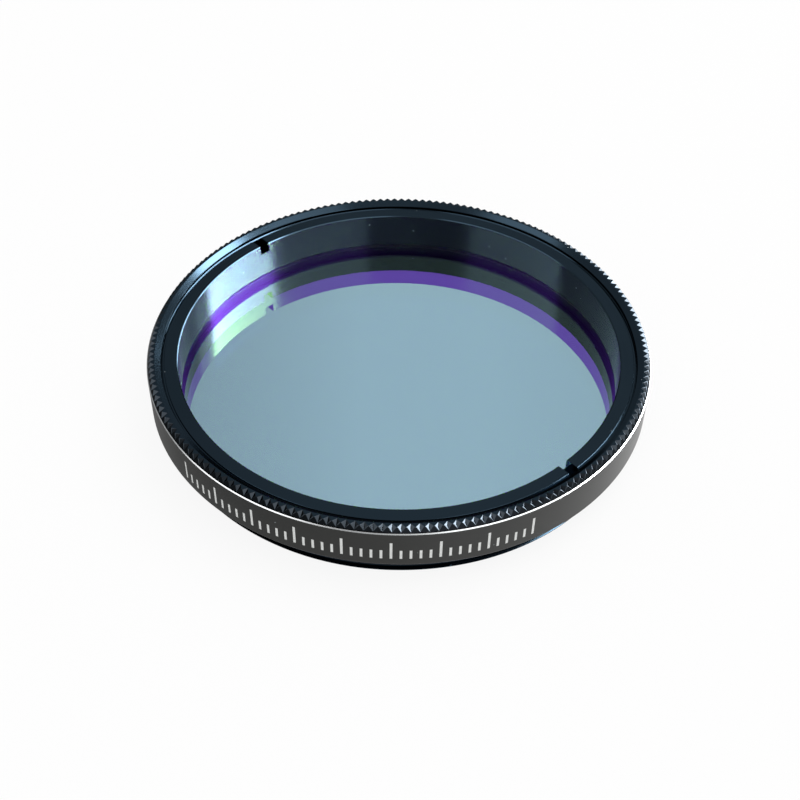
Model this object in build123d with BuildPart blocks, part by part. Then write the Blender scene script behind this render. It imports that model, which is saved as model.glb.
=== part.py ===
from build123d import *
import os
from math import atan2, degrees, hypot, radians, tan

# A screw-in bandpass filter for a telescope: a coated glass plate in a knurled aluminium cell,
# held down by a slotted retaining ring. Millimetres, +Z up along the optical axis. The origin is
# on that axis in the plane of the foot of the male thread, which the filter stands on.

# Cell, outside
THREAD_R = 23.95            # crests of the male thread, 48 mm with a 0.75 mm pitch
THREAD_RELIEF_R = 23.45     # groove where the threading tool runs out
THREAD_LENGTH = 2.42        # foot of the thread up to the shoulder
THREAD_RELIEF = 0.45
THREAD_CHAMFER = 0.18
BAND_R = 25.25              # smooth band, the largest radius
BAND_TOP = 6.57             # sharp upper corner of the band, below its bright bevel
BAND_BEVEL = 0.09
BAND_FOOT_BEVEL = 0.2
PARTING_R = 24.98           # fine groove that parts the band from the knurled flange
PARTING_WIDTH = 0.07

# Knurled flange
TOP = 7.2                   # highest face of the cell
CORNER_R = 24.89            # where the flat land meets the flange's steep outer side
FLANGE_FOOT_R = 25.12
LAND_R = 24.42              # inner edge of the flat land
NOTCHES = 192
NOTCH_START_R = 24.47       # where a notch's root leaves the land
NOTCH_END_R = 25.11         # where the same root runs out on the flange's side
NOTCH_END_Z = 6.79
NOTCH_ANGLE = 120           # between the two flanks of a notch
NOTCH_PHASE = 4.76          # azimuth of one notch, in degrees

# Cell, inside
MOUTH_R = 23.86             # foot of the conical mouth
MOUTH_Z = 6.83
PITCH_R = 23.75             # pitch radius of the thread between ring and cell
THREAD_MOUTH_Z = 6.45       # the two threads engage below this height
UNDERCUT_R = 24.05
UNDERCUT_TOP = 3.4
POCKET_R = 23.0
POCKET_TOP = 2.9
SEAT_Z = 0.69               # thickness of the lip under the glass
LIP_R = 22.0
LIP_CHAMFER = 0.2

# Glass plate
GLASS_R = 22.9
GLASS_THICKNESS = 2.0

# Retaining ring
RING_TOP = 6.6
RING_BORE_R = 22.2
RING_NECK_R = 23.57
RING_NOSE_R = 22.85
RING_BORE_CHAMFER = 0.1
RING_EDGE_CHAMFER = 0.03
SLOT_WIDTH = 1.15
SLOT_DEPTH = 1.1
SLOT_AZIMUTH = 132.9        # the slots lie on one diameter, at this azimuth and opposite it

GLASS_TOP = SEAT_Z + GLASS_THICKNESS

os.makedirs("parts", exist_ok=True)


# Filter cell, turned section below the flange
band_foot_r = BAND_R - BAND_FOOT_BEVEL
flange_foot_z = BAND_TOP + BAND_BEVEL + PARTING_WIDTH
body_section = [
    (LIP_R + LIP_CHAMFER, 0),
    (THREAD_R - THREAD_CHAMFER, 0),
    (THREAD_R, THREAD_CHAMFER),
    (THREAD_R, THREAD_LENGTH - THREAD_RELIEF),
    (THREAD_RELIEF_R, THREAD_LENGTH - THREAD_RELIEF),
    (THREAD_RELIEF_R, THREAD_LENGTH),
    (band_foot_r, THREAD_LENGTH),
    (BAND_R, THREAD_LENGTH + BAND_FOOT_BEVEL),
    (BAND_R, BAND_TOP),
    (BAND_R - BAND_BEVEL, BAND_TOP + BAND_BEVEL),
    (PARTING_R, BAND_TOP + BAND_BEVEL),
    (PARTING_R, flange_foot_z),
    (MOUTH_R, flange_foot_z),
    (MOUTH_R, THREAD_MOUTH_Z),
    (PITCH_R, THREAD_MOUTH_Z),
    (PITCH_R, UNDERCUT_TOP),
    (UNDERCUT_R, UNDERCUT_TOP),
    (UNDERCUT_R, POCKET_TOP),
    (POCKET_R, POCKET_TOP),
    (POCKET_R, SEAT_Z),
    (LIP_R, SEAT_Z),
    (LIP_R, LIP_CHAMFER),
]

# The flange is a frustum with one narrow flat to each notch. The flats lie within 0.004 mm of the
# true cone, and the edges of the notches are straight lines on them.
flange_height = TOP - flange_foot_z
flange_taper = degrees(atan2(FLANGE_FOOT_R - CORNER_R, flange_height))
first_crest = NOTCH_PHASE + 180 / NOTCHES

# The flange's conical mouth
mouth_section = [
    (0, flange_foot_z),
    (MOUTH_R, flange_foot_z),
    (MOUTH_R, MOUTH_Z),
    (LAND_R, TOP),
    (0, TOP),
]

# One notch cutter: a prism whose lower edge is the notch's root, sloping down and outwards across
# the flange's outer corner, so that the notch is widest at the corner and runs out at both ends.
notch_run = NOTCH_END_R - NOTCH_START_R
notch_drop = TOP - NOTCH_END_Z
notch_length = hypot(notch_run, notch_drop)
notch_overrun = 0.3
notch_height = 0.45
notch_half_width = notch_height * tan(radians(NOTCH_ANGLE / 2))
root_direction = Vector(notch_run, 0, -notch_drop).normalized()
cutter_start = Vector(NOTCH_START_R, 0, TOP) - root_direction * notch_overrun
cutter_plane = Plane(origin=cutter_start, x_dir=(0, 1, 0), z_dir=root_direction)

with BuildPart() as notch_cutter:
    with BuildSketch(cutter_plane):
        with BuildLine():
            Polyline(
                (0, 0),
                (notch_half_width, notch_height),
                (-notch_half_width, notch_height),
                close=True,
            )
        make_face()
    extrude(amount=notch_length + 2 * notch_overrun)

with BuildPart() as filter_cell:
    with BuildSketch(Plane.XZ):
        with BuildLine():
            Polyline(*body_section, close=True)
        make_face()
    revolve(axis=Axis.Z)
    with BuildSketch(Plane.XY.offset(flange_foot_z)):
        RegularPolygon(FLANGE_FOOT_R, NOTCHES, rotation=first_crest)
    extrude(amount=flange_height, taper=flange_taper)
    with BuildSketch(Plane.XZ):
        with BuildLine():
            Polyline(*mouth_section, close=True)
        make_face()
    revolve(axis=Axis.Z, mode=Mode.SUBTRACT)
    with PolarLocations(0, NOTCHES, start_angle=NOTCH_PHASE):
        add(notch_cutter.part, mode=Mode.SUBTRACT)
filter_cell.part.label = "filter_cell"
export_step(filter_cell.part, "parts/filter_cell.step")


# Filter glass
with BuildPart() as filter_glass:
    with BuildSketch(Plane.XY.offset(SEAT_Z)):
        Circle(GLASS_R)
    extrude(amount=GLASS_THICKNESS)
filter_glass.part.label = "filter_glass"
export_step(filter_glass.part, "parts/filter_glass.step")


# Retaining ring
ring_section = [
    (RING_BORE_R, GLASS_TOP),
    (RING_NOSE_R, GLASS_TOP),
    (RING_NOSE_R, UNDERCUT_TOP),
    (PITCH_R, UNDERCUT_TOP),
    (PITCH_R, THREAD_MOUTH_Z),
    (RING_NECK_R, THREAD_MOUTH_Z),
    (RING_NECK_R, RING_TOP - RING_EDGE_CHAMFER),
    (RING_NECK_R - RING_EDGE_CHAMFER, RING_TOP),
    (RING_BORE_R + RING_BORE_CHAMFER, RING_TOP),
    (RING_BORE_R, RING_TOP - RING_BORE_CHAMFER),
]

with BuildPart() as retaining_ring:
    with BuildSketch(Plane.XZ):
        with BuildLine():
            Polyline(*ring_section, close=True)
        make_face()
    revolve(axis=Axis.Z)
    with BuildSketch(Plane.XY.offset(RING_TOP)):
        Rectangle(2 * THREAD_R, SLOT_WIDTH, rotation=SLOT_AZIMUTH)
    extrude(amount=-SLOT_DEPTH, mode=Mode.SUBTRACT)
retaining_ring.part.label = "retaining_ring"
export_step(retaining_ring.part, "parts/retaining_ring.step")
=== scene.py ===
from math import ceil, cos, hypot, pi, radians, sin, tan

import bmesh
import bpy
from mathutils import Matrix, Vector


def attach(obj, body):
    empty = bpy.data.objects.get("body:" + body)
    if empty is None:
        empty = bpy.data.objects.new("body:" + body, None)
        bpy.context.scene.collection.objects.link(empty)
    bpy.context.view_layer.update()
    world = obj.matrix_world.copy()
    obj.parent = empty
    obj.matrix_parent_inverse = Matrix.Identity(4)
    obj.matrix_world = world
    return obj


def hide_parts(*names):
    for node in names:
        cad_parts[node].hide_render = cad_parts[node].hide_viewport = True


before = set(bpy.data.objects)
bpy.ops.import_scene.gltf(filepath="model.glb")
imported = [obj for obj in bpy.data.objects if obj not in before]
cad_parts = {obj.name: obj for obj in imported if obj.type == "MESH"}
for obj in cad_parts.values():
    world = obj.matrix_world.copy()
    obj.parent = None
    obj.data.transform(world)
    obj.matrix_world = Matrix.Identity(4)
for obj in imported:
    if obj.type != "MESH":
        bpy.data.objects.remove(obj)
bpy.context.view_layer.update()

# A screw-in bandpass filter: a coated glass plate in a knurled, black anodised aluminium cell, held
# down by a slotted retaining ring. Dimensions are in millimetres and become metres in the meshes.
MM = 0.001

# Cell, outside
THREAD_R = 23.95
THREAD_PITCH = 0.75
THREAD_ANGLE = 60
THREAD_START = 198          # azimuth at which a crest leaves the foot, in degrees
THREAD_RELIEF_R = 23.45
THREAD_LENGTH = 2.42
THREAD_RELIEF = 0.45
THREAD_CHAMFER = 0.18
THREAD_COLLAR = 0.3         # plain part of the thread's foot, below the first groove
BAND_R = 25.25
BAND_TOP = 6.57
BAND_BEVEL = 0.09
BAND_FOOT_BEVEL = 0.2
PARTING_R = 24.98
PARTING_WIDTH = 0.07

# Knurled flange
TOP = 7.2
CORNER_R = 24.89
FLANGE_FOOT_R = 25.12
LAND_R = 24.42
NOTCHES = 192
NOTCH_START_R = 24.47
NOTCH_END_R = 25.11
NOTCH_END_Z = 6.79
NOTCH_ANGLE = 120
NOTCH_PHASE = 4.76
RIM_WIDTH = 0.09            # worn rim of a notch, at its widest
RIM_TILT = 20               # degrees from the face that it was cut into

# Cell, inside
MOUTH_R = 23.86
MOUTH_Z = 6.83
PITCH_R = 23.75
THREAD_MOUTH_Z = 6.45
UNDERCUT_R = 24.05
UNDERCUT_TOP = 3.4
POCKET_R = 23.0
POCKET_TOP = 2.9
SEAT_Z = 0.69
LIP_R = 22.0
LIP_CHAMFER = 0.2

# Glass plate
GLASS_R = 22.9
GLASS_THICKNESS = 2.0
GLASS_INDEX = 1.52          # crown glass
GLASS_TOP = SEAT_Z + GLASS_THICKNESS

# Retaining ring
RING_TOP = 6.6
RING_BORE_R = 22.2
RING_NECK_R = 23.57
RING_NOSE_R = 22.85
RING_BORE_CHAMFER = 0.1
RING_EDGE_CHAMFER = 0.03
SLOT_WIDTH = 1.15
SLOT_DEPTH = 1.1
SLOT_AZIMUTH = 132.9

# Fineness of the meshes
STATIONS = 4 * NOTCHES      # steps round the axis: a notch's root, its crest and one between each
BROKEN_EDGE = 0.035         # a machined edge with its burr taken off
CONTACT_GAP = 0.004         # keeps faces that touch from lying in one plane
SHARP_DEGREES = 10          # a fold steeper than this shows as an edge

# Scale of strokes on the band
STROKE_STEP = 2             # degrees
STROKES_START = -141        # azimuth of the first stroke, in degrees
STROKES = 40                # steps from the first stroke to the last
STROKE_WIDTH = 0.24
STROKE_FOOT_Z = 3.4
SHORT_STROKE = 1.1
LONG_STROKE = 2.1
STROKES_TO_LONG = 5         # each fifth stroke is a long one

# Sizes in the finishes
GRAIN = 0.12                # turning marks, drawn coarser than the real ones, which are too fine to show
DYE_CLOUD = 9               # faint clouds in the dye
INK_GRIT = 0.06             # ground glass under its ink
DUST_SPACING = 1.6
DUST_SIZE = 0.05

# Camera, fitted to the coaxial circles of the photograph
PHOTO_SIDE = 800            # pixels
FOCAL_PIXELS = 1239.61
CAMERA_DISTANCE = 125.2532  # mm from the point on the axis at height CAMERA_AIM_Z
CAMERA_AIM_Z = 7.0
CAMERA_ELEVATION = 0.7107   # radians
CAMERA_PAN = 0.0012         # how far the middle of the view is off that point, as tangents
CAMERA_TILT = -0.0478
CAMERA_ROLL = 0.0165        # radians
SENSOR = 36                 # mm

# Paper that the filter stands on
PAPER_HALF_SIDE = 1500
PAPER_WHITE = 0.9           # how much of it is plain white to the camera and to mirrored rays
# Painted shade: mirrored rays see the paper's white dimmed towards the left, standing in for less light
# there
MIRRORED_SHADE_START = 8              # across the picture, where the painted shade on the mirrored white begins
MIRRORED_SHADE_END = -25
MIRRORED_SHADE_DEPTH = 0.75

# White all round, as it is mirrored: how bright it is across the picture, from left to right
STUDIO_HALF_WIDTH = 0.3     # of a direction of length 1
STUDIO_LEFT = 0.68
STUDIO_MIDDLE = ((0.2, 0.74), (0.45, 1), (0.62, 1), (0.8, 0.92))
STUDIO_RIGHT = 0.86
STUDIO_LIGHT = 0.75         # how bright it is as light on the object

# Places of the materials on each piece. On the cell and the ring, 0 is the plain turned finish.
CELL_BAND, CELL_BEVEL, CELL_KNURL = 1, 2, 3
RING_BORE = 1
GLASS_FRONT, GLASS_REAR, GLASS_EDGE = 0, 1, 2


def linear(colour):
    """A Blender colour from an sRGB hex value."""
    channels = [int(colour[i:i + 2], 16) / 255 for i in (1, 3, 5)]
    return tuple(c / 12.92 if c <= 0.04045 else ((c + 0.055) / 1.055) ** 2.4 for c in channels) + (1,)


def add(tree, kind, values={}, links={}, **settings):
    """Add a node with its settings, its socket values and the links into it."""
    made = tree.nodes.new(kind)
    for name, value in settings.items():
        setattr(made, name, value)
    for socket, value in values.items():
        made.inputs[socket].default_value = value
    for socket, source in links.items():
        tree.links.new(source, made.inputs[socket])
    return made


def new_material(name):
    """An empty material and its node tree."""
    material = bpy.data.materials.new(name)
    material.use_nodes = True
    material.node_tree.nodes.clear()
    return material, material.node_tree


# Materials

def graduation(tree, place):
    """A mask that is 1 on the scale of plain strokes engraved on the band, each fifth one long."""
    axes = add(tree, "ShaderNodeSeparateXYZ", {}, {"Vector": place})
    azimuth = add(tree, "ShaderNodeMath", {}, {0: axes.outputs["Y"], 1: axes.outputs["X"]},
                  operation="ARCTAN2")
    step = radians(STROKE_STEP)
    count = add(tree, "ShaderNodeMath", {1: 1 / step, 2: -radians(STROKES_START) / step},
                {0: azimuth.outputs[0]}, operation="MULTIPLY_ADD")
    half_step = 0.5
    past_ends = 0.4         # lets the first and the last stroke in, and no further one
    off_stroke = add(tree, "ShaderNodeMath", {1: half_step}, {0: count.outputs[0]}, operation="PINGPONG")
    stroke = add(tree, "ShaderNodeMath", {1: STROKE_WIDTH / 2 / (BAND_R * step)}, {0: off_stroke.outputs[0]},
                 operation="LESS_THAN")
    in_scale = add(tree, "ShaderNodeMath", {1: STROKES / 2, 2: STROKES / 2 + past_ends},
                   {0: count.outputs[0]}, operation="COMPARE")
    off_long = add(tree, "ShaderNodeMath", {1: STROKES_TO_LONG / 2}, {0: count.outputs[0]},
                   operation="PINGPONG")
    is_long = add(tree, "ShaderNodeMath", {1: half_step}, {0: off_long.outputs[0]}, operation="LESS_THAN")
    growth, short_top = LONG_STROKE - SHORT_STROKE, STROKE_FOOT_Z + SHORT_STROKE
    top = add(tree, "ShaderNodeMath", {1: growth * MM, 2: short_top * MM}, {0: is_long.outputs[0]},
              operation="MULTIPLY_ADD")
    below = add(tree, "ShaderNodeMath", {}, {0: axes.outputs["Z"], 1: top.outputs[0]}, operation="LESS_THAN")
    above = add(tree, "ShaderNodeMath", {1: STROKE_FOOT_Z * MM}, {0: axes.outputs["Z"]},
                operation="GREATER_THAN")
    mask = stroke
    for part in (in_scale, below, above):
        mask = add(tree, "ShaderNodeMath", {}, {0: mask.outputs[0], 1: part.outputs[0]},
                   operation="MULTIPLY")
    return mask.outputs[0]


def black_anodised_aluminium(name, dye, gloss, surface_values, marked=False):
    """Aluminium, fine turned and black anodised: a satin black, slightly cloudy, with a faint grain from
    turning and a few specks of dust. A marked one also carries the engraved scale."""
    material, tree = new_material(name)
    place = add(tree, "ShaderNodeTexCoord").outputs["Object"]
    grain = add(tree, "ShaderNodeTexNoise", {"Scale": 1 / (GRAIN * MM), "Detail": 3, "Roughness": 0.6},
                {"Vector": place})
    cloud = add(tree, "ShaderNodeTexNoise", {"Scale": 1 / (DYE_CLOUD * MM), "Detail": 2}, {"Vector": place})
    shade = add(tree, "ShaderNodeMix", {"A": linear(dye[0]), "B": linear(dye[1])},
                {"Factor": cloud.outputs["Fac"]}, data_type="RGBA")
    speck = add(tree, "ShaderNodeTexVoronoi", {"Scale": 1 / (DUST_SPACING * MM)}, {"Vector": place})
    near = add(tree, "ShaderNodeMath", {1: DUST_SIZE / DUST_SPACING}, {0: speck.outputs["Distance"]},
               operation="LESS_THAN")
    shade = add(tree, "ShaderNodeMix", {"B": linear("#a9b4b8")},
                {"Factor": near.outputs[0], "A": shade.outputs["Result"]}, data_type="RGBA")
    if marked:
        shade = add(tree, "ShaderNodeMix", {"B": linear("#e2e4e2")},
                    {"Factor": graduation(tree, place), "A": shade.outputs["Result"]}, data_type="RGBA")
    rough = add(tree, "ShaderNodeMapRange", {"To Min": gloss[0], "To Max": gloss[1]},
                {"Value": cloud.outputs["Fac"]})
    relief = add(tree, "ShaderNodeBump", {"Strength": 0.05, "Distance": 0.01 * MM},
                 {"Height": grain.outputs["Fac"]})
    surface = add(
        tree, "ShaderNodeBsdfPrincipled", surface_values,
        {"Base Color": shade.outputs["Result"], "Roughness": rough.outputs["Result"],
         "Normal": relief.outputs["Normal"]})
    add(tree, "ShaderNodeOutputMaterial", {}, {"Surface": surface.outputs["BSDF"]})
    return material


def bright_cut_aluminium():
    """Aluminium where a bevel was cut through the anodising and dulled since: a thin silver line."""
    material, tree = new_material("bright_cut_aluminium")
    place = add(tree, "ShaderNodeTexCoord").outputs["Object"]
    grain = add(tree, "ShaderNodeTexNoise", {"Scale": 1 / (GRAIN * MM), "Detail": 3}, {"Vector": place})
    rough = add(tree, "ShaderNodeMapRange", {"To Min": 0.2, "To Max": 0.32}, {"Value": grain.outputs["Fac"]})
    surface = add(tree, "ShaderNodeBsdfPrincipled", {"Base Color": linear("#a2a4a5"), "Metallic": 1},
                  {"Roughness": rough.outputs["Result"]})
    add(tree, "ShaderNodeOutputMaterial", {}, {"Surface": surface.outputs["BSDF"]})
    return material


def coating(name, through, back):
    """A thin interference coating on polished glass: what it lets through is refracted, the rest is
    mirrored, and each colour goes one way or the other."""
    material, tree = new_material(name)
    refracted = add(tree, "ShaderNodeBsdfRefraction",
                    {"Color": linear(through), "Roughness": 0, "IOR": GLASS_INDEX})
    mirrored = add(tree, "ShaderNodeBsdfGlossy", {"Color": linear(back), "Roughness": 0})
    both = add(tree, "ShaderNodeAddShader")
    tree.links.new(refracted.outputs["BSDF"], both.inputs[0])
    tree.links.new(mirrored.outputs["BSDF"], both.inputs[1])
    add(tree, "ShaderNodeOutputMaterial", {}, {"Surface": both.outputs["Shader"]})
    return material


def ground_glass_edge():
    """The plate's rim, ground matt and inked black against stray light."""
    material, tree = new_material("ground_glass_edge")
    place = add(tree, "ShaderNodeTexCoord").outputs["Object"]
    grit = add(tree, "ShaderNodeTexNoise", {"Scale": 1 / (INK_GRIT * MM), "Detail": 2}, {"Vector": place})
    relief = add(tree, "ShaderNodeBump", {"Strength": 0.3, "Distance": 0.01 * MM},
                 {"Height": grit.outputs["Fac"]})
    surface = add(tree, "ShaderNodeBsdfPrincipled", {"Base Color": linear("#0c0d10"), "Roughness": 0.7},
                  {"Normal": relief.outputs["Normal"]})
    add(tree, "ShaderNodeOutputMaterial", {}, {"Surface": surface.outputs["BSDF"]})
    return material


def pale_floor():
    """A pale paper sweep. The camera sees it nearly white, and it keeps the object's shadow. To mirrored
    rays its white carries a painted shade that deepens towards the left, away from the window."""
    material, tree = new_material("pale_paper")
    paper = add(tree, "ShaderNodeBsdfDiffuse", {"Color": linear("#f4f4f4")})
    path = add(tree, "ShaderNodeLightPath")
    place = add(tree, "ShaderNodeTexCoord").outputs["Object"]
    across = add(tree, "ShaderNodeSeparateXYZ", {}, {"Vector": place})
    # Painted shade: the white that mirrored rays see is dimmed towards the left
    painted_shade = add(tree, "ShaderNodeMapRange",
                 {"From Min": MIRRORED_SHADE_START * MM, "From Max": MIRRORED_SHADE_END * MM, "To Max": MIRRORED_SHADE_DEPTH},
                 {"Value": across.outputs["X"]})
    painted_shade = add(tree, "ShaderNodeMath", {}, {0: painted_shade.outputs["Result"], 1: path.outputs["Is Glossy Ray"]},
                 operation="MULTIPLY")
    strength = add(tree, "ShaderNodeMath", {0: 1}, {1: painted_shade.outputs[0]}, operation="SUBTRACT")
    white = add(tree, "ShaderNodeEmission", {"Color": (1, 1, 1, 1)}, {"Strength": strength.outputs[0]})
    seen = add(tree, "ShaderNodeMath", {},
               {0: path.outputs["Is Camera Ray"], 1: path.outputs["Is Glossy Ray"]}, operation="MAXIMUM")
    seen = add(tree, "ShaderNodeMath", {}, {0: seen.outputs[0], 1: path.outputs["Is Transmission Ray"]},
               operation="MAXIMUM")
    share = add(tree, "ShaderNodeMath", {1: PAPER_WHITE}, {0: seen.outputs[0]}, operation="MULTIPLY")
    mixed = add(tree, "ShaderNodeMixShader", {},
                {0: share.outputs[0], 1: paper.outputs[0], 2: white.outputs[0]})
    add(tree, "ShaderNodeOutputMaterial", {}, {"Surface": mixed.outputs["Shader"]})
    return material


# Mesh tools

def broken_edges(section, width=BROKEN_EDGE):
    """An open section of (radius, height) points with its inner corners cut off by a small flat."""
    eased = [section[0]]
    for before, corner, after in zip(section, section[1:], section[2:]):
        for other in (before, after):
            length = hypot(other[0] - corner[0], other[1] - corner[1])
            part = min(width, length / 3) / length
            eased.append(tuple(c + (o - c) * part for c, o in zip(corner, other)))
    return eased + [section[-1]]


def ring(mesh, radius, height):
    """A circle of vertices about the axis. Radius is a number, or a function of the azimuth."""
    made = []
    for i in range(STATIONS):
        azimuth = radians(NOTCH_PHASE) + 2 * pi * i / STATIONS
        r = radius(azimuth) if callable(radius) else radius
        made.append(mesh.verts.new((r * cos(azimuth), r * sin(azimuth), height)))
    return made


def skin(mesh, low, high, material=0):
    """Faces between two circles of vertices."""
    for i in range(len(low)):
        j = (i + 1) % len(low)
        mesh.faces.new((low[i], low[j], high[j], high[i])).material_index = material


def skin_all(mesh, rings, material=0):
    """Faces between each circle of vertices and the next."""
    for low, high in zip(rings, rings[1:]):
        skin(mesh, low, high, material)


def finished(name, mesh, materials):
    """The bmesh, in mm, as an object in metres with smooth shading between its sharp edges."""
    bmesh.ops.scale(mesh, vec=(MM, MM, MM), verts=mesh.verts)
    bmesh.ops.remove_doubles(mesh, verts=mesh.verts, dist=1e-8)
    bmesh.ops.recalc_face_normals(mesh, faces=mesh.faces)
    data = bpy.data.meshes.new(name)
    mesh.to_mesh(data)
    mesh.free()
    data.shade_smooth()
    data.set_sharp_from_angle(angle=radians(SHARP_DEGREES))
    for material in materials:
        data.materials.append(material)
    made = bpy.data.objects.new(name, data)
    bpy.context.scene.collection.objects.link(made)
    return made


# Filter cell

def thread_profile():
    """One pitch of a 60 degree thread: pairs of the share of the pitch and the radius."""
    crest, root = 1 / 8, 1 / 4
    flank = (1 - crest - root) / 2
    depth = flank * THREAD_PITCH * tan(radians(THREAD_ANGLE))
    steps = 3
    down = [(crest / 2 + flank * i / steps, THREAD_R - depth * i / steps) for i in range(steps + 1)]
    up = [(1 - share, radius) for share, radius in reversed(down)]
    return down + up


def thread_radius(azimuth, height):
    """Radius of the threaded surface. Its foot is a plain collar with a lead chamfer."""
    share = (height / THREAD_PITCH - (azimuth - radians(THREAD_START)) / (2 * pi)) % 1
    profile = thread_profile()
    profile = [(profile[-1][0] - 1, THREAD_R)] + profile + [(profile[0][0] + 1, THREAD_R)]
    for (a, radius_a), (b, radius_b) in zip(profile, profile[1:]):
        if a <= share <= b:
            radius = radius_a + (radius_b - radius_a) * (share - a) / (b - a)
            break
    if height < THREAD_COLLAR:
        radius = THREAD_R
    return min(radius, THREAD_R - THREAD_CHAMFER + height)


def male_thread(mesh, foot_ring):
    """The helical thread from the foot to its relief. Its rows of vertices climb one pitch in a turn, and
    stop at both ends. Returns the row at its upper end."""
    shares = [share for share, radius in thread_profile()]
    thread_top = THREAD_LENGTH - THREAD_RELIEF
    rows_per_turn = len(shares)
    lead = NOTCH_PHASE - THREAD_START
    rows = []
    for turn in range(-1, ceil(thread_top / THREAD_PITCH) + 2):
        for share in shares:
            row = []
            for i in range(STATIONS):
                azimuth = radians(NOTCH_PHASE) + 2 * pi * i / STATIONS
                height = (turn + share + i / STATIONS + lead / 360) * THREAD_PITCH
                height = min(max(height, 0), thread_top)
                radius = thread_radius(azimuth, height)
                row.append(mesh.verts.new((radius * cos(azimuth), radius * sin(azimuth), height)))
            rows.append(row)
    skin(mesh, foot_ring, rows[0])
    for k, (low, high) in enumerate(zip(rows, rows[1:])):
        for i in range(STATIONS - 1):
            mesh.faces.new((low[i], low[i + 1], high[i + 1], high[i]))
        if k + rows_per_turn + 1 < len(rows):
            next_low, next_high = rows[k + rows_per_turn], rows[k + rows_per_turn + 1]
            mesh.faces.new((low[-1], next_low[0], next_high[0], high[-1]))
    return rows[-1]


def knurled_flange(mesh, foot, land):
    """Close the skin between the circle at the flange's foot and the inner circle of its flat land, with
    notches cut across the flange's outer corner. Each notch has a worn rim."""
    run, drop = NOTCH_END_R - NOTCH_START_R, TOP - NOTCH_END_Z
    depth = (CORNER_R - NOTCH_START_R) * drop / hypot(run, drop)
    half_width = depth * tan(radians(NOTCH_ANGLE / 2))
    spread = half_width / CORNER_R
    pitch = 2 * pi / NOTCHES
    rim_drop = RIM_WIDTH * tan(radians(RIM_TILT))
    rim_r = CORNER_R - rim_drop * drop / hypot(run, drop)
    rim_z = TOP - rim_drop * run / hypot(run, drop)
    rim_spread = spread - RIM_WIDTH / CORNER_R

    def vertex(radius, azimuth, height):
        return mesh.verts.new((radius * cos(azimuth), radius * sin(azimuth), height))

    notches = []
    for k in range(NOTCHES):
        middle = radians(NOTCH_PHASE) + k * pitch
        notches.append({
            "start": vertex(NOTCH_START_R, middle, TOP),
            "end": vertex(NOTCH_END_R, middle, NOTCH_END_Z),
            "right": vertex(CORNER_R, middle - spread, TOP),
            "left": vertex(CORNER_R, middle + spread, TOP),
            "rim_right": vertex(rim_r, middle - rim_spread, rim_z),
            "rim_left": vertex(rim_r, middle + rim_spread, rim_z),
            "crest": vertex(CORNER_R, middle + pitch / 2, TOP),
        })
    for k, notch in enumerate(notches):
        crest_before = notches[k - 1]["crest"]
        s = 4 * k
        cut = [
            (notch["start"], notch["rim_left"], notch["end"]),
            (notch["start"], notch["end"], notch["rim_right"]),
            (notch["start"], notch["left"], notch["rim_left"]),
            (notch["left"], notch["end"], notch["rim_left"]),
            (notch["start"], notch["rim_right"], notch["right"]),
            (notch["end"], notch["right"], notch["rim_right"]),
            (foot[s], notch["end"], notch["left"], notch["crest"], foot[s + 2], foot[s + 1]),
            (foot[s - 2], crest_before, notch["right"], notch["end"], foot[s], foot[s - 1]),
        ]
        for corners in cut:
            mesh.faces.new(corners).material_index = CELL_KNURL
        mesh.faces.new((land[s], land[s + 1], land[s + 2], notch["crest"], notch["left"], notch["start"]))
        mesh.faces.new((land[s - 2], land[s - 1], land[s], notch["start"], notch["right"], crest_before))


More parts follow.
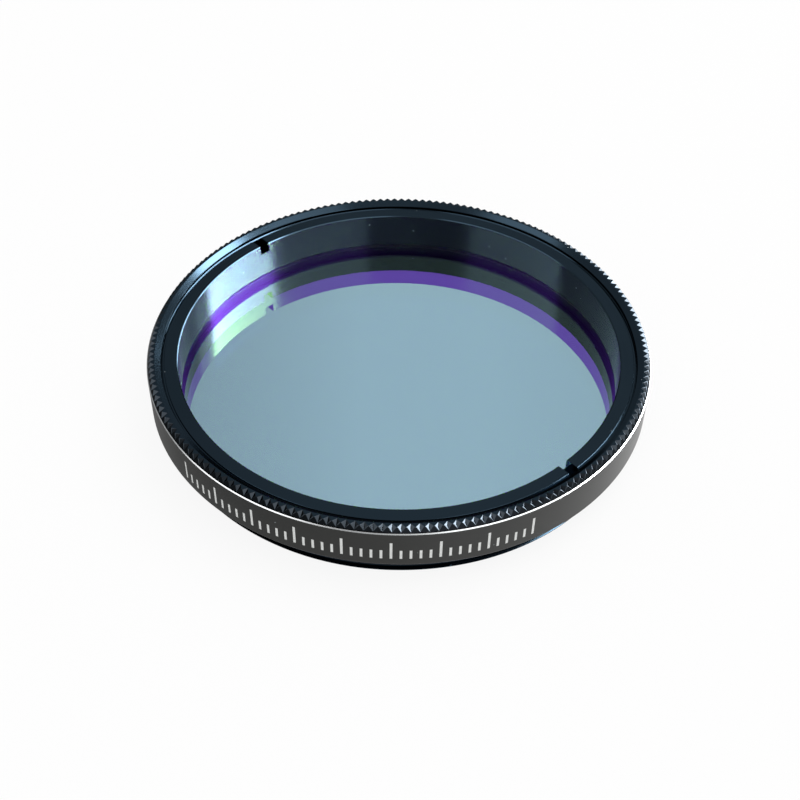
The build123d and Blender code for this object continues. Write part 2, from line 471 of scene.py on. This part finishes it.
def make_filter_cell(materials):
    mesh = bmesh.new()
    band_foot_r = BAND_R - BAND_FOOT_BEVEL
    flange_foot_z = BAND_TOP + BAND_BEVEL + PARTING_WIDTH
    thread_top = THREAD_LENGTH - THREAD_RELIEF
    lip = [(LIP_R, SEAT_Z), (LIP_R, LIP_CHAMFER), (LIP_R + LIP_CHAMFER, 0), (LIP_R + 2 * LIP_CHAMFER, 0)]
    outside = [
        (THREAD_RELIEF_R, thread_top), (THREAD_RELIEF_R, THREAD_LENGTH),
        (band_foot_r - BAND_FOOT_BEVEL, THREAD_LENGTH),
    ]
    band = [
        (band_foot_r - BROKEN_EDGE, THREAD_LENGTH), (band_foot_r, THREAD_LENGTH),
        (BAND_R, THREAD_LENGTH + BAND_FOOT_BEVEL), (BAND_R, BAND_TOP - BAND_BEVEL),
    ]
    bevel = [(BAND_R, BAND_TOP), (BAND_R - BAND_BEVEL, BAND_TOP + BAND_BEVEL)]
    parting = [
        (PARTING_R + BROKEN_EDGE, BAND_TOP + BAND_BEVEL), (PARTING_R, BAND_TOP + BAND_BEVEL),
        (PARTING_R, flange_foot_z), (FLANGE_FOOT_R, flange_foot_z),
    ]
    inside = [
        (LAND_R, TOP), (MOUTH_R, MOUTH_Z), (MOUTH_R, THREAD_MOUTH_Z), (PITCH_R, THREAD_MOUTH_Z),
        (PITCH_R, UNDERCUT_TOP), (UNDERCUT_R, UNDERCUT_TOP), (UNDERCUT_R, POCKET_TOP),
        (POCKET_R, POCKET_TOP), (POCKET_R, SEAT_Z), (POCKET_R - BROKEN_EDGE, SEAT_Z),
    ]
    lip_rings = [ring(mesh, r, z) for r, z in broken_edges(lip)]
    skin_all(mesh, lip_rings)
    thread_end = male_thread(mesh, lip_rings[-1])
    outside_rings = [ring(mesh, r, z) for r, z in broken_edges(outside)]
    skin(mesh, thread_end, outside_rings[0])
    skin_all(mesh, outside_rings)
    band_rings = [ring(mesh, r, z) for r, z in broken_edges(band)]
    skin(mesh, outside_rings[-1], band_rings[0], CELL_BAND)
    skin_all(mesh, band_rings, CELL_BAND)
    bevel_rings = [ring(mesh, r, z) for r, z in bevel]
    skin(mesh, band_rings[-1], bevel_rings[0], CELL_BAND)
    skin(mesh, bevel_rings[0], bevel_rings[1], CELL_BEVEL)
    parting_rings = [ring(mesh, r, z) for r, z in broken_edges(parting, PARTING_WIDTH / 5)]
    skin(mesh, bevel_rings[1], parting_rings[0])
    skin_all(mesh, parting_rings)
    inside_rings = [ring(mesh, r, z) for r, z in broken_edges(inside)]
    knurled_flange(mesh, parting_rings[-1], inside_rings[0])
    skin_all(mesh, inside_rings)
    skin(mesh, inside_rings[-1], lip_rings[0])
    return finished("filter_cell_turned", mesh, materials)


# Retaining ring

def make_retaining_ring(materials):
    mesh = bmesh.new()
    foot = GLASS_TOP + CONTACT_GAP
    section = [
        (RING_BORE_R + BROKEN_EDGE, foot), (RING_NOSE_R, foot), (RING_NOSE_R, UNDERCUT_TOP),
        (PITCH_R - CONTACT_GAP, UNDERCUT_TOP), (PITCH_R - CONTACT_GAP, THREAD_MOUTH_Z),
        (RING_NECK_R, THREAD_MOUTH_Z), (RING_NECK_R, RING_TOP - RING_EDGE_CHAMFER),
        (RING_NECK_R - RING_EDGE_CHAMFER, RING_TOP), (RING_BORE_R + RING_BORE_CHAMFER, RING_TOP),
        (RING_BORE_R, RING_TOP - RING_BORE_CHAMFER), (RING_BORE_R, foot + BROKEN_EDGE),
    ]
    rings = [ring(mesh, r, z) for r, z in broken_edges(section, RING_EDGE_CHAMFER / 3)]
    skin_all(mesh, rings)
    skin(mesh, rings[-1], rings[0])
    for face in mesh.faces:
        if all(hypot(v.co.x, v.co.y) < RING_BORE_R + BROKEN_EDGE / 2 for v in face.verts):
            face.material_index = RING_BORE
    made = finished("retaining_ring_turned", mesh, materials)
    cut_slots(made)
    return made


def cut_slots(turned):
    """Saw the two spanner slots, which lie on one diameter."""
    cutter_mesh = bmesh.new()
    turn = Matrix.Rotation(radians(SLOT_AZIMUTH), 4, "Z")
    size = (2 * THREAD_R, SLOT_WIDTH, 2 * SLOT_DEPTH)
    bmesh.ops.create_cube(cutter_mesh, size=1)
    bmesh.ops.scale(cutter_mesh, vec=size, verts=cutter_mesh.verts)
    bmesh.ops.translate(cutter_mesh, vec=(0, 0, RING_TOP), verts=cutter_mesh.verts)
    bmesh.ops.transform(cutter_mesh, matrix=turn, verts=cutter_mesh.verts)
    cutter = finished("slot_cutter", cutter_mesh, [])
    cut = turned.modifiers.new("slots", "BOOLEAN")
    cut.operation = "DIFFERENCE"
    cut.solver = "EXACT"
    cut.object = cutter
    bpy.context.view_layer.update()
    evaluated = turned.evaluated_get(bpy.context.evaluated_depsgraph_get())
    slotted = bpy.data.meshes.new_from_object(evaluated)
    turned.modifiers.clear()
    turned.data = slotted
    slotted.shade_smooth()
    slotted.set_sharp_from_angle(angle=radians(SHARP_DEGREES))
    bpy.data.objects.remove(cutter)


# Glass plate

def make_filter_glass(materials):
    """A plane-parallel plate: front coating, rear coating and ground rim."""
    mesh = bmesh.new()
    low = ring(mesh, GLASS_R, SEAT_Z + CONTACT_GAP)
    high = ring(mesh, GLASS_R, GLASS_TOP - CONTACT_GAP)
    mesh.faces.new(high).material_index = GLASS_FRONT
    mesh.faces.new(low).material_index = GLASS_REAR
    skin(mesh, low, high, GLASS_EDGE)
    return finished("filter_glass_plate", mesh, materials)


# Stage

def make_camera():
    """The photograph's camera: a pinhole fitted to the part's circles."""
    location = Vector((0, -CAMERA_DISTANCE * cos(CAMERA_ELEVATION), CAMERA_DISTANCE * sin(CAMERA_ELEVATION)))
    forward = -location.normalized()
    right = Vector((1, 0, 0))
    up = right.cross(forward)
    forward = (forward + CAMERA_PAN * right + CAMERA_TILT * up).normalized()
    right = forward.cross(up).normalized()
    up = right.cross(forward)
    rolled_right = cos(CAMERA_ROLL) * right + sin(CAMERA_ROLL) * up
    rolled_up = cos(CAMERA_ROLL) * up - sin(CAMERA_ROLL) * right
    data = bpy.data.cameras.new("camera")
    data.sensor_width = SENSOR
    data.lens = FOCAL_PIXELS / PHOTO_SIDE * SENSOR
    data.clip_start = 0.005
    camera = bpy.data.objects.new("camera", data)
    turn = Matrix((rolled_right, rolled_up, -forward)).transposed().to_4x4()
    camera.matrix_world = Matrix.Translation((location + Vector((0, 0, CAMERA_AIM_Z))) * MM) @ turn
    bpy.context.scene.collection.objects.link(camera)
    bpy.context.scene.camera = camera


def make_floor():
    mesh = bmesh.new()
    bmesh.ops.create_grid(mesh, x_segments=1, y_segments=1, size=PAPER_HALF_SIDE)
    bmesh.ops.translate(mesh, vec=(0, 0, -CONTACT_GAP), verts=mesh.verts)
    floor = finished("floor", mesh, [pale_floor()])


def make_lamp(name, azimuth, elevation, distance, width, height, radiance, reflected_only=False):
    """A soft rectangular lamp that faces the object. Radiance 1 is white. One that is reflected only
    shows as a highlight on metal and glass, and lights nothing matt."""
    data = bpy.data.lights.new(name, "AREA")
    data.shape = "RECTANGLE"
    data.size, data.size_y = width, height
    data.energy = radiance * pi * width * height
    lamp = bpy.data.objects.new(name, data)
    a, e = radians(azimuth), radians(elevation)
    towards = Vector((cos(a) * cos(e), sin(a) * cos(e), sin(e)))
    lamp.location = towards * distance
    lamp.rotation_euler = towards.to_track_quat("Z", "Y").to_euler()
    if reflected_only:
        lamp.visible_diffuse = False
    bpy.context.scene.collection.objects.link(lamp)


def make_world():
    """Soft light from all round, and white wherever it is seen directly, mirrored or through glass. The
    mirrored white fades a little to both sides of what the glass shows."""
    world = bpy.data.worlds.new("studio")
    world.use_nodes = True
    tree = world.node_tree
    tree.nodes.clear()
    path = add(tree, "ShaderNodeLightPath")
    direction = add(tree, "ShaderNodeTexCoord").outputs["Generated"]
    across = add(tree, "ShaderNodeSeparateXYZ", {}, {"Vector": direction})
    place = add(tree, "ShaderNodeMapRange",
                {"From Min": -STUDIO_HALF_WIDTH, "From Max": STUDIO_HALF_WIDTH},
                {"Value": across.outputs["X"]})
    mirrored = add(tree, "ShaderNodeValToRGB", {}, {"Fac": place.outputs["Result"]})
    stops = mirrored.color_ramp.elements
    stops[0].color = (STUDIO_LEFT, STUDIO_LEFT, STUDIO_LEFT, 1)
    stops[1].color = (STUDIO_RIGHT, STUDIO_RIGHT, STUDIO_RIGHT, 1)
    for position, level in STUDIO_MIDDLE:
        stops.new(position).color = (level, level, level, 1)
    shown = add(tree, "ShaderNodeMath", {},
                {0: path.outputs["Is Camera Ray"], 1: path.outputs["Is Transmission Ray"]},
                operation="MAXIMUM")
    strength = add(tree, "ShaderNodeMapRange", {"To Min": STUDIO_LIGHT, "To Max": 1},
                   {"Value": shown.outputs[0]})
    strength = add(tree, "ShaderNodeMix", {},
                   {"Factor": path.outputs["Is Glossy Ray"], "A": strength.outputs["Result"],
                    "B": mirrored.outputs["Color"]})
    light = add(tree, "ShaderNodeBackground", {"Color": (1, 1, 1, 1)},
                {"Strength": strength.outputs["Result"]})
    add(tree, "ShaderNodeOutputWorld", {}, {"Surface": light.outputs["Background"]})
    bpy.context.scene.world = world


# Turned faces: a smooth bluish black that mirrors the lamps almost crisply
anodised = black_anodised_aluminium(
    "black_anodised_aluminium", dye=("#1d2831", "#212d36"), gloss=(0.13, 0.16),
    surface_values={"Metallic": 1, "Specular Tint": linear("#bfbfbf")})
# Notches: a more neutral black and a little glossier, so that their flanks glint
cut_anodised = black_anodised_aluminium(
    "black_anodised_knurl", dye=("#202428", "#24282c"), gloss=(0.12, 0.15),
    surface_values={"Metallic": 1, "Specular Tint": linear("#bfbfbf")})
# The ring's bore: a deeper black, bright only where it is seen at a low angle
bore_anodised = black_anodised_aluminium(
    "black_anodised_bore", dye=("#050a10", "#080e15"), gloss=(0.14, 0.18),
    surface_values={"Specular IOR Level": 0.27})
# The smooth band: a neutral satin with broad soft highlights, and the scale of strokes
band_anodised = black_anodised_aluminium(
    "satin_black_anodised_aluminium", dye=("#1b1c1a", "#222321"), gloss=(0.26, 0.32),
    surface_values={"Specular IOR Level": 0.35}, marked=True)
bright_cut = bright_cut_aluminium()
# The front coating mirrors a faint violet. The rear one mirrors blue green and lets little through
front_coating = coating("violet_front_coating", "#f4fad7", "#553599")
rear_coating = coating("green_rear_coating", "#1a2426", "#7daaa0")

cell = make_filter_cell([anodised, band_anodised, bright_cut, cut_anodised])
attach(cell, "root")
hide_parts("filter_cell")

retaining_ring = make_retaining_ring([anodised, bore_anodised])
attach(retaining_ring, "root")
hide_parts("retaining_ring")

glass = make_filter_glass([front_coating, rear_coating, ground_glass_edge()])
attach(glass, "root")
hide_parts("filter_glass")

make_camera()
make_floor()
make_world()
make_lamp("window", azimuth=10, elevation=31, distance=0.6, width=0.42, height=0.56, radiance=45,
          reflected_only=True)
make_lamp("low_window", azimuth=42, elevation=10, distance=0.6, width=0.38, height=0.26, radiance=34,
          reflected_only=True)
make_lamp("left_panel", azimuth=-157, elevation=45, distance=0.6, width=0.5, height=0.6, radiance=3.2,
          reflected_only=True)
make_lamp("right_panel", azimuth=-42, elevation=45, distance=0.6, width=0.5, height=0.6, radiance=3.2,
          reflected_only=True)
make_lamp("softbox", azimuth=24, elevation=60, distance=0.8, width=0.6, height=0.6, radiance=2)

view = bpy.context.scene.view_settings
view.view_transform = "Standard"
